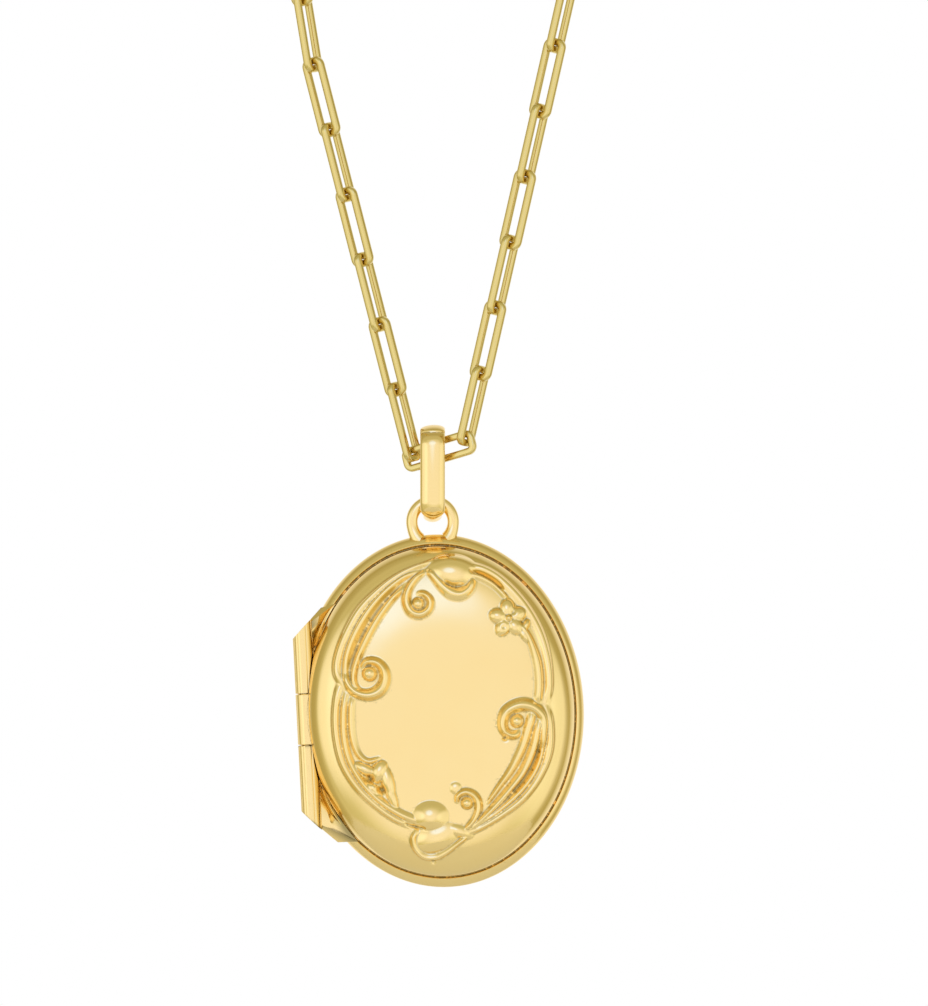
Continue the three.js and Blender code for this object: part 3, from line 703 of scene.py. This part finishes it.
def middle_knuckle():
    """The cover's knuckle, with the solder fillet that joins it to the cover's edge."""
    low, high = MIDDLE_LOW, MIDDLE_HIGH
    turn = np.arange(64) * 2 * math.pi / 64
    towards = np.exp(-(((turn - math.radians(322)) / 0.5) ** 2))
    radius = KNUCKLE_RADIUS + 0.12 * towards
    radius = radius * (1 - 0.045 * np.exp(-(((turn - math.radians(205)) / 0.08) ** 2)))
    rows = []
    for v, shrink in (
        (low, END_EASE), (low + 0.05, 1), (-0.6, 1), (0.6, 1), (high - 0.05, 1), (high, END_EASE)
    ):
        u = HINGE_U + radius * shrink * np.cos(turn)
        rows.append(case_points(u, radius * shrink * np.sin(turn), v))
    vertices, faces = closed_grid(np.array(rows), False)
    return mesh_piece("cover_knuckle", vertices, faces, gold, "cover", "middle_knuckle", "gold", 35)


def hinge_pin():
    """The pin, with its ends eased."""
    turn = np.arange(32) * 2 * math.pi / 32
    rows = []
    low, high, tip = PIN_LOW, PIN_HIGH, PIN_RADIUS - 0.1
    for v, radius in (
        (low, tip), (low + 0.1, PIN_RADIUS), (0, PIN_RADIUS), (high - 0.1, PIN_RADIUS), (high, tip)
    ):
        rows.append(case_points(HINGE_U + radius * np.cos(turn), radius * np.sin(turn), v))
    vertices, faces = closed_grid(np.array(rows), False)
    return mesh_piece("hinge_rod", vertices, faces, satin_gold, "case", "hinge_pin", "inner_gold", 40)


hinge_leaf("upper_leaf", "upper_hinge_leaf", *UPPER_LEAF)
hinge_leaf("lower_leaf", "lower_hinge_leaf", *LOWER_LEAF)
middle_knuckle()
hinge_pin()

# ---- Loop and bail ----

WIDEST_Y = 1.1
LOOP_U, LOOP_V, LOOP_RADIUS, LOOP_WIRE = 0.12, 14.27, 1.56, 0.88
LOOP_REACH, LOOP_FOOT_START = 143, 95  # degrees either side of its top
LOOP_FOOT_SWELL = 0.45
LOOP_FOOT_SPREAD = 0.2


def top_loop():
    """A round wire loop whose feet spread where they are soldered to the shell."""
    reach = math.radians(LOOP_REACH)
    foot_start = math.radians(LOOP_FOOT_START)
    centres, sides, fronts = [], [], []
    for angle in np.linspace(-reach, reach, 90):
        foot = np.clip((abs(angle) - foot_start) / (reach - foot_start), 0, 1) ** 2
        swell = 1 + LOOP_FOOT_SWELL * foot
        radial = np.array([math.sin(angle), 0, math.cos(angle)])
        outward = LOOP_RADIUS + LOOP_FOOT_SPREAD * foot
        centres.append((LOOP_U + outward * radial[0], WIDEST_Y, LOOP_V + outward * radial[2]))
        sides.append(radial * swell)
        fronts.append(np.array([0, 1, 0]) * swell)
    rows = []
    for centre, a, b in zip(centres, sides, fronts):
        ring = np.array(centre) + [
            a * p + b * q for p, q in round_section(LOOP_WIRE, LOOP_WIRE, 32, 2.1)
        ]
        rows.append(case_points(ring[:, 0], ring[:, 1], ring[:, 2]))
    vertices, faces = closed_grid(np.array(rows), False)
    return mesh_piece("loop_ring", vertices, faces, gold, "case", "top_loop", "gold", 60)


def smoothstep(x, low, high):
    """0 below low, 1 above high, and eased between."""
    t = min(max((x - low) / (high - low), 0), 1)
    return t * t * (3 - 2 * t)


BAIL_STRAP = 0.7 * MM
BAIL_FOOT = 1.04 * MM
BAIL_FOOT_WIDTH = 1.46 * MM
BAIL_DOME = 1.45  # how much its outside is raised below the crown
BAIL_CREST = 0.12  # how far the raised side leans to the right
BAIL_LIP_TURN = 0.77  # where the creased rim crosses the strap, in radians from its top
BAIL_GROOVE_DEPTH = 0.11 * MM
BAIL_GROOVE_WIDTH = 0.045


def bail():
    """A domed strap with a creased rim over its crown, drawn in to a round foot in the loop."""
    low, high = (np.array(corner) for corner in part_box("bail"))
    middle, height = (low + high) / 2, high[2] - low[2]
    depth, width = high[1] - low[1], high[0] - low[0]
    half = depth / 2
    rows = []
    for turn in np.linspace(0, 2 * math.pi, 241)[:-1]:
        out_y, out_z = -math.sin(turn), math.cos(turn)
        foot = smoothstep(-out_z, 0.6, 0.97)
        wide = width * (1 - foot) + BAIL_FOOT_WIDTH * foot
        thick = BAIL_STRAP * (1 - foot) + BAIL_FOOT * foot
        straight = max(-1, min(1, out_z * 4)) * (height / 2 - half)
        centre = middle + [0, out_y * (half - thick / 2), straight + out_z * (half - thick / 2)]
        ring = []
        for p, q in round_section(1, 1, 64, 2):
            lip = turn - BAIL_LIP_TURN + 0.5 * p**2
            groove = BAIL_GROOVE_DEPTH * math.exp(-((lip / BAIL_GROOVE_WIDTH) ** 2))
            swell = 1 + (BAIL_DOME - 1) * (1 - foot) * (1 - smoothstep(out_z, 0.35, 0.75))
            depth_here = q * thick * (swell if q > 0 else 0.8) - (groove if q > 0 else 0)
            shear = BAIL_CREST * max(q, 0) * (1 - foot)
            ring.append(centre + [(p + shear) * wide, out_y * depth_here, out_z * depth_here])
        rows.append(ring)
    vertices, faces = closed_grid(np.array(rows), True)
    return mesh_piece("bail_strap", vertices, faces, gold, "bail", "bail", "gold", 60)


top_loop()
bail()

# ---- Chain ----

LINK_WIDTH, LINK_LENGTH, LINK_WIRE = 1.9, 6.2, 0.55
LINK_CORNER = 0.42
LINK_EDGE = 0.19
LINK_ROLL = math.radians(55)
LINKS_PER_STRAND = 8
MIDDLE_TILT, MIDDLE_TURN = math.radians(15), math.radians(-26)


def oblong(half_width, half_length, corner, per_corner):
    """Centres and outward directions round a rounded oblong in (side, along)."""
    points, outs = [], []
    corners = ((1, 1), (-1, 1), (-1, -1), (1, -1))
    for quarter, (sx, sz) in enumerate(corners):
        for angle in np.linspace(0, math.pi / 2, per_corner):
            turn = quarter * math.pi / 2 + angle
            out = np.array([math.cos(turn), math.sin(turn)])
            points.append(
                np.array([sx * (half_width - corner), sz * (half_length - corner)]) + out * corner
            )
            outs.append(out)
        following = corners[(quarter + 1) % 4]
        last = points[-1]
        out = outs[-1]
        if abs(out[0]) > 0.5:
            target = np.array([last[0], following[1] * (half_length - corner)])
        else:
            target = np.array([following[0] * (half_width - corner), last[1]])
        for t in (0.05, 0.35, 0.65, 0.95):
            points.append(last + (target - last) * t)
            outs.append(out)
    return points, outs


def link_mesh(name, node, body, centre, direction, side, depth):
    """Flat-sided wire bent to a rounded oblong and closed."""
    points, outs = oblong(
        (LINK_WIDTH - LINK_WIRE) / 2, (LINK_LENGTH - LINK_WIRE) / 2, LINK_CORNER, 9
    )
    section = square_section(LINK_WIRE, LINK_EDGE)
    rows = []
    for point, out in zip(points, outs):
        middle = centre + (side * point[0] + direction * point[1]) * MM
        across = side * out[0] + direction * out[1]
        rows.append(middle + (section[:, :1] * across + section[:, 1:] * depth) * MM)
    vertices, faces = closed_grid(np.array(rows), True)
    # the links take the darker copy of the gold, which paints shade onto them
    return mesh_piece(name, vertices, faces, chain_gold, body, node, "chain_gold")


def link_axes(direction, roll):
    """A link's side and depth directions, turned about its length by roll."""
    side = unit(np.cross([0, 1, 0], direction))
    depth = np.cross(direction, side)
    turned = side * math.cos(roll) + depth * math.sin(roll)
    return turned, np.cross(direction, turned)


def strand(side_name):
    """One side's links, numbered from the lowest, each a quarter turn from the last."""
    for i in range(1, LINKS_PER_STRAND + 1):
        node = f"{side_name}_link_{i}"
        centre = box_centre(node)
        direction = unit(np.array(JOINTS[f"{node}_swing"]["pos_m"]) - centre)
        roll = LINK_ROLL if i % 2 else LINK_ROLL - math.pi / 2
        side, depth = link_axes(direction, roll)
        link_mesh(f"{node}_wire", node, node, centre, direction, side, depth)


def middle_link():
    """The link through the bail, which joins the two strands."""
    level = math.cos(MIDDLE_TILT)
    direction = np.array(
        [level * math.cos(MIDDLE_TURN), level * math.sin(MIDDLE_TURN), math.sin(MIDDLE_TILT)]
    )
    side = unit(np.array([0, 0, 1]) - direction * direction[2])
    depth = np.cross(direction, side)
    centre = box_centre("middle_link")
    link_mesh("middle_link_wire", "middle_link", "middle_link", centre, direction, side, depth)


strand("left")
strand("right")
middle_link()

# ---- End fittings ----

END_RING_RADIUS, END_RING_WIRE = 1.35, 0.6


def end_direction(side_name):
    """The way the strand's last link points."""
    link = f"{side_name}_link_{LINKS_PER_STRAND}"
    return unit(np.array(JOINTS[f"{link}_swing"]["pos_m"]) - box_centre(link))


def ring_mesh(name, node, body, centre, a, b, normal):
    """An end ring in the plane of a and b."""
    rows = []
    radius = END_RING_RADIUS
    section = round_section(END_RING_WIRE, END_RING_WIRE, 24)
    for turn in np.arange(72) * 2 * math.pi / 72:
        out = a * math.cos(turn) + b * math.sin(turn)
        rows.append(centre + (out * radius + section[:, :1] * out + section[:, 1:] * normal) * MM)
    vertices, faces = closed_grid(np.array(rows), True)
    return mesh_piece(name, vertices, faces, gold, body, node, "gold")


for side_name in ("left", "right"):
    node = f"{side_name}_end_ring"
    direction = end_direction(side_name)
    side, depth = link_axes(direction, LINK_ROLL)
    ring_mesh(f"{node}_wire", node, "root", box_centre(node), side, direction, depth)

CLASP_CENTRE = 4.3
CLASP_HALF_WIDTH, CLASP_HALF_LENGTH = 1.725, 3.125
CLASP_RIM, CLASP_THICKNESS = 1.15, 1.5
LEVER_THICKNESS = 0.64
CHEEK_THICKNESS = 0.35
EYE_RADIUS, EYE_RIM, EYE_THICKNESS = 0.85, 0.5, 0.8
EYE_ABOVE_RING = 1.61
RIVET_X, RIVET_HEIGHT = 1.6, 2.6
HOOK_START, HOOK_END = 57, -193  # these arcs are in degrees from the clasp's top
CHEEK_START, CHEEK_END = 168, 109
LEVER_START, LEVER_END = 135, 58.5
LEVER_RIM = 0.95
THUMB_OUT, THUMB_DROP = 0.6, 0.4


def clasp_place():
    """The middle of the clasp's eye, and its side, depth and length directions."""
    direction = end_direction("left")
    side, depth = link_axes(direction, LINK_ROLL - math.pi / 2)
    return box_centre("left_end_ring") + direction * EYE_ABOVE_RING * MM, side, depth, direction


def clasp_points(points):
    """Points given in the clasp's own millimetres (side, depth, length), put in their place."""
    eye, side, depth, direction = clasp_place()
    points = np.asarray(points, float)
    return eye + (points[:, :1] * side + points[:, 1:2] * depth + points[:, 2:] * direction) * MM


def clasp_arc(first, last, rim, thickness, offset=0.0, squareness=3.0):
    """A bar of rounded section along part of the clasp's oval, with eased ends; degrees from its top."""
    rows = []
    section = round_section(rim, thickness, 32, squareness)
    for t in np.concatenate([[0, 0.012, 0.03], np.linspace(0.05, 0.95, 60), [0.97, 0.988, 1]]):
        turn = math.radians(first + (last - first) * t)
        near_end = min(t, 1 - t)
        shrink = 0.8 + 0.2 * math.sin(min(near_end / 0.03, 1) * math.pi / 2)
        centre = (CLASP_HALF_WIDTH * math.sin(turn), CLASP_CENTRE + CLASP_HALF_LENGTH * math.cos(turn))
        out = np.array([math.sin(turn) / CLASP_HALF_WIDTH, math.cos(turn) / CLASP_HALF_LENGTH])
        out = out / np.linalg.norm(out)
        ring = [
            (centre[0] + out[0] * p * shrink, offset + q * shrink, centre[1] + out[1] * p * shrink)
            for p, q in section
        ]
        rows.append(clasp_points(ring))
    return closed_grid(np.array(rows), False)


def turned_bar(x, z, profile, steps=32):
    """A body turned about the clasp's depth direction; the profile is (radius, depth) pairs."""
    turn = np.arange(steps) * 2 * math.pi / steps
    rows = [
        clasp_points(
            np.stack([x + r * np.cos(turn), np.full(steps, y), z + r * np.sin(turn)], axis=1)
        )
        for r, y in profile
    ]
    return closed_grid(np.array(rows), False)


def clasp_eye():
    """The eye that the end ring passes through."""
    rows = []
    section = round_section(EYE_RIM, EYE_THICKNESS, 24, 2.4)
    for turn in np.arange(48) * 2 * math.pi / 48:
        reach = EYE_RADIUS + section[:, 0]
        ring = np.stack([reach * math.cos(turn), section[:, 1], reach * math.sin(turn)], axis=1)
        rows.append(clasp_points(ring))
    return closed_grid(np.array(rows), True)


def joined(parts):
    """Several closed shells as one mesh."""
    vertices, faces = [], []
    for part_vertices, part_faces in parts:
        start = len(vertices)
        vertices.extend(part_vertices)
        faces.extend([tuple(index + start for index in face) for face in part_faces])
    return vertices, faces


def clasp():
    """A lobster clasp: a cast hook with an eye and a fork, and a lever riveted in the fork."""
    cheek_offset = (CLASP_THICKNESS - CHEEK_THICKNESS) / 2
    hook = joined([
        clasp_arc(HOOK_START, HOOK_END, CLASP_RIM, CLASP_THICKNESS),
        clasp_arc(CHEEK_START, CHEEK_END, CLASP_RIM, CHEEK_THICKNESS, cheek_offset),
        clasp_arc(CHEEK_START, CHEEK_END, CLASP_RIM, CHEEK_THICKNESS, -cheek_offset),
        clasp_eye(),
    ])
    mesh_piece("clasp_hook", *hook, gold, "root", "clasp_body", "gold", 50)
    thumb = [(0.02, -0.3), (0.2, -0.28), (0.34, -0.2), (0.4, 0.0), (0.34, 0.2), (0.2, 0.28), (0.02, 0.3)]
    lever = joined([
        clasp_arc(LEVER_START, LEVER_END, LEVER_RIM, LEVER_THICKNESS),
        turned_bar(CLASP_HALF_WIDTH + THUMB_OUT, CLASP_CENTRE - THUMB_DROP, thumb),
    ])
    mesh_piece("clasp_gate", *lever, gold, "clasp_lever", "clasp_lever", "gold", 50)
    half = CLASP_THICKNESS / 2
    head = [(0.3, half - 0.12), (0.36, half - 0.08), (0.34, half), (0.2, half + 0.08), (0.02, half + 0.1)]
    heads = [(radius, -depth) for radius, depth in reversed(head)] + head
    rivet = turned_bar(RIVET_X, RIVET_HEIGHT, heads)
    mesh_piece("clasp_pin", *rivet, satin_gold, "root", "clasp_rivet", "inner_gold", 50)


clasp()

# ---- Stage, light and camera ----

CAMERA_DISTANCE = 0.6
VIEW_WIDTH = 0.0699
VIEW_OFFSET = (1.77 * MM, 15.68 * MM)
SENSOR = 36
SOFTBOX_GLOW = 3
FLOOR_DROP = 170 * MM
FLOOR_RADIUS = 0.2
FLOOR_STEPS = 96
# the way to each soft glow in the tent, the cosines where it starts and is full, and the light it adds
SIDE_GLOWS = (
    ((-0.13, -0.92, 0.37), 0.93, 0.985, (0.05, 0.26, 1.0)),
    ((-0.85, -0.53, 0.0), 0.84, 0.985, (0.4, 0.43, 0.6)),
    ((0.92, -0.36, -0.16), 0.75, 0.97, (0.34, 0.37, 0.48)),
)


def floor_disc():
    """A pale round table top below the locket, out of the main view."""
    height = CASE_CENTRE[2] - FLOOR_DROP
    turn = np.arange(FLOOR_STEPS) * 2 * math.pi / FLOOR_STEPS
    rows = []
    rim = FLOOR_RADIUS
    for radius, z in (
        (rim * 0.98, height - 6 * MM), (rim, height - 3 * MM), (rim * 0.99, height), (rim / 2, height)
    ):
        x = CASE_CENTRE[0] + radius * np.cos(turn)
        rows.append(np.stack([x, radius * np.sin(turn), np.full(FLOOR_STEPS, z)], axis=1))
    vertices, faces = closed_grid(np.array(rows), False)
    mesh = bpy.data.meshes.new("floor")
    mesh.from_pydata([tuple(p) for p in vertices], [], faces)
    disc = bpy.data.objects.new("floor", mesh)
    bpy.context.scene.collection.objects.link(disc)
    material = bpy.data.materials.new("pale_floor")
    material.use_nodes = True
    nodes, links = material.node_tree.nodes, material.node_tree.links
    shader = nodes["Principled BSDF"]
    shader.inputs["Roughness"].default_value = 0.7
    mottle = nodes.new("ShaderNodeTexNoise")
    mottle.inputs["Scale"].default_value = 40
    shade = nodes.new("ShaderNodeMix")
    shade.data_type = "RGBA"
    shade.inputs["A"].default_value = (0.84, 0.84, 0.84, 1)
    shade.inputs["B"].default_value = (0.88, 0.88, 0.88, 1)
    links.new(mottle.outputs["Fac"], shade.inputs["Factor"])
    links.new(shade.outputs["Result"], shader.inputs["Base Color"])
    mesh.materials.append(material)


def studio_world():
    """A tent with tinted bands and soft glows, which shows plain white where the camera sees it."""
    world = bpy.data.worlds.new("tent")
    bpy.context.scene.world = world
    world.use_nodes = True
    nodes, links = world.node_tree.nodes, world.node_tree.links
    background = nodes["Background"]
    place = nodes.new("ShaderNodeTexCoord")
    axes = nodes.new("ShaderNodeSeparateXYZ")
    links.new(place.outputs["Generated"], axes.inputs["Vector"])
    depth = nodes.new("ShaderNodeMapRange")
    depth.inputs["From Min"].default_value = -1
    links.new(axes.outputs["Y"], depth.inputs["Value"])
    bands = nodes.new("ShaderNodeValToRGB")
    stops = bands.color_ramp
    stops.elements[0].position = 0.0
    stops.elements[0].color = (1, 1, 1, 1)
    stops.elements[1].position = 1.0
    stops.elements[1].color = (1, 1, 1, 1)
    for position, colour in (
        (0.04, (1.0, 1.0, 1.0)),
        (0.13, (0.84, 0.83, 0.68)),
        (0.23, (0.66, 0.65, 0.42)),
        (0.34, (0.62, 0.6, 0.37)),
        (0.45, (0.64, 0.62, 0.39)),
        (0.56, (0.5, 0.46, 0.24)),
        (0.66, (0.46, 0.41, 0.18)),
        (0.84, (0.92, 0.91, 0.82)),
    ):
        element = stops.elements.new(position)
        element.color = (*colour, 1)
    links.new(depth.outputs["Result"], bands.inputs["Fac"])
    top = nodes.new("ShaderNodeMapRange")
    top.inputs["From Min"].default_value = -0.9
    top.inputs["From Max"].default_value = 0.9
    top.inputs["To Min"].default_value = 1.1
    top.inputs["To Max"].default_value = 0.95
    links.new(axes.outputs["Z"], top.inputs["Value"])
    tent = nodes.new("ShaderNodeVectorMath")
    tent.operation = "SCALE"
    links.new(bands.outputs["Color"], tent.inputs[0])
    links.new(top.outputs["Result"], tent.inputs["Scale"])
    glow = tent.outputs["Vector"]
    for aim, start, full, colour in SIDE_GLOWS:
        towards = nodes.new("ShaderNodeVectorMath")
        towards.operation = "DOT_PRODUCT"
        towards.inputs[1].default_value = Vector(aim).normalized()
        links.new(place.outputs["Generated"], towards.inputs[0])
        fade = nodes.new("ShaderNodeMapRange")
        fade.interpolation_type = "SMOOTHSTEP"
        fade.inputs["From Min"].default_value = start
        fade.inputs["From Max"].default_value = full
        links.new(towards.outputs["Value"], fade.inputs["Value"])
        panel = nodes.new("ShaderNodeVectorMath")
        panel.operation = "SCALE"
        panel.inputs[0].default_value = colour
        links.new(fade.outputs["Result"], panel.inputs["Scale"])
        total = nodes.new("ShaderNodeVectorMath")
        links.new(glow, total.inputs[0])
        links.new(panel.outputs["Vector"], total.inputs[1])
        glow = total.outputs["Vector"]
    eye = nodes.new("ShaderNodeLightPath")
    pick = nodes.new("ShaderNodeMix")
    pick.data_type = "RGBA"
    pick.inputs["B"].default_value = (1, 1, 1, 1)
    links.new(eye.outputs["Is Camera Ray"], pick.inputs["Factor"])
    links.new(glow, pick.inputs["A"])
    links.new(pick.outputs["Result"], background.inputs["Color"])


def softbox(name, place, target, size):
    """A white panel that lights the floor and the card; the tent's own glow is what the gold mirrors."""
    light = bpy.data.lights.new(name, "AREA")
    light.shape = "RECTANGLE"
    light.size, light.size_y = size
    light.energy = SOFTBOX_GLOW * math.pi * size[0] * size[1]
    lamp = bpy.data.objects.new(name, light)
    bpy.context.scene.collection.objects.link(lamp)
    lamp.visible_glossy = False
    lamp.location = place
    lamp.rotation_mode = "QUATERNION"
    lamp.rotation_quaternion = (Vector(target) - Vector(place)).to_track_quat("-Z", "Y")


def camera():
    """Level, square to the locket's front, and far enough off to flatten its perspective."""
    data = bpy.data.cameras.new("camera")
    data.sensor_width = SENSOR
    data.sensor_fit = "HORIZONTAL"
    data.lens = SENSOR * CAMERA_DISTANCE / VIEW_WIDTH
    data.clip_start, data.clip_end = 0.01, 10
    eye = bpy.data.objects.new("camera", data)
    bpy.context.scene.collection.objects.link(eye)
    eye.location = (
        CASE_CENTRE[0] + VIEW_OFFSET[0],
        CASE_CENTRE[1] - CAMERA_DISTANCE,
        CASE_CENTRE[2] + VIEW_OFFSET[1],
    )
    eye.rotation_euler = (math.pi / 2, 0, 0)
    bpy.context.scene.camera = eye


floor_disc()
studio_world()
middle = Vector(CASE_CENTRE)
softbox("left_box", middle + Vector((-0.42, -0.26, -0.02)), middle, (0.26, 0.34))
softbox("right_box", middle + Vector((0.44, -0.2, -0.04)), middle, (0.34, 0.36))
camera()
bpy.context.scene.view_settings.view_transform = "Standard"
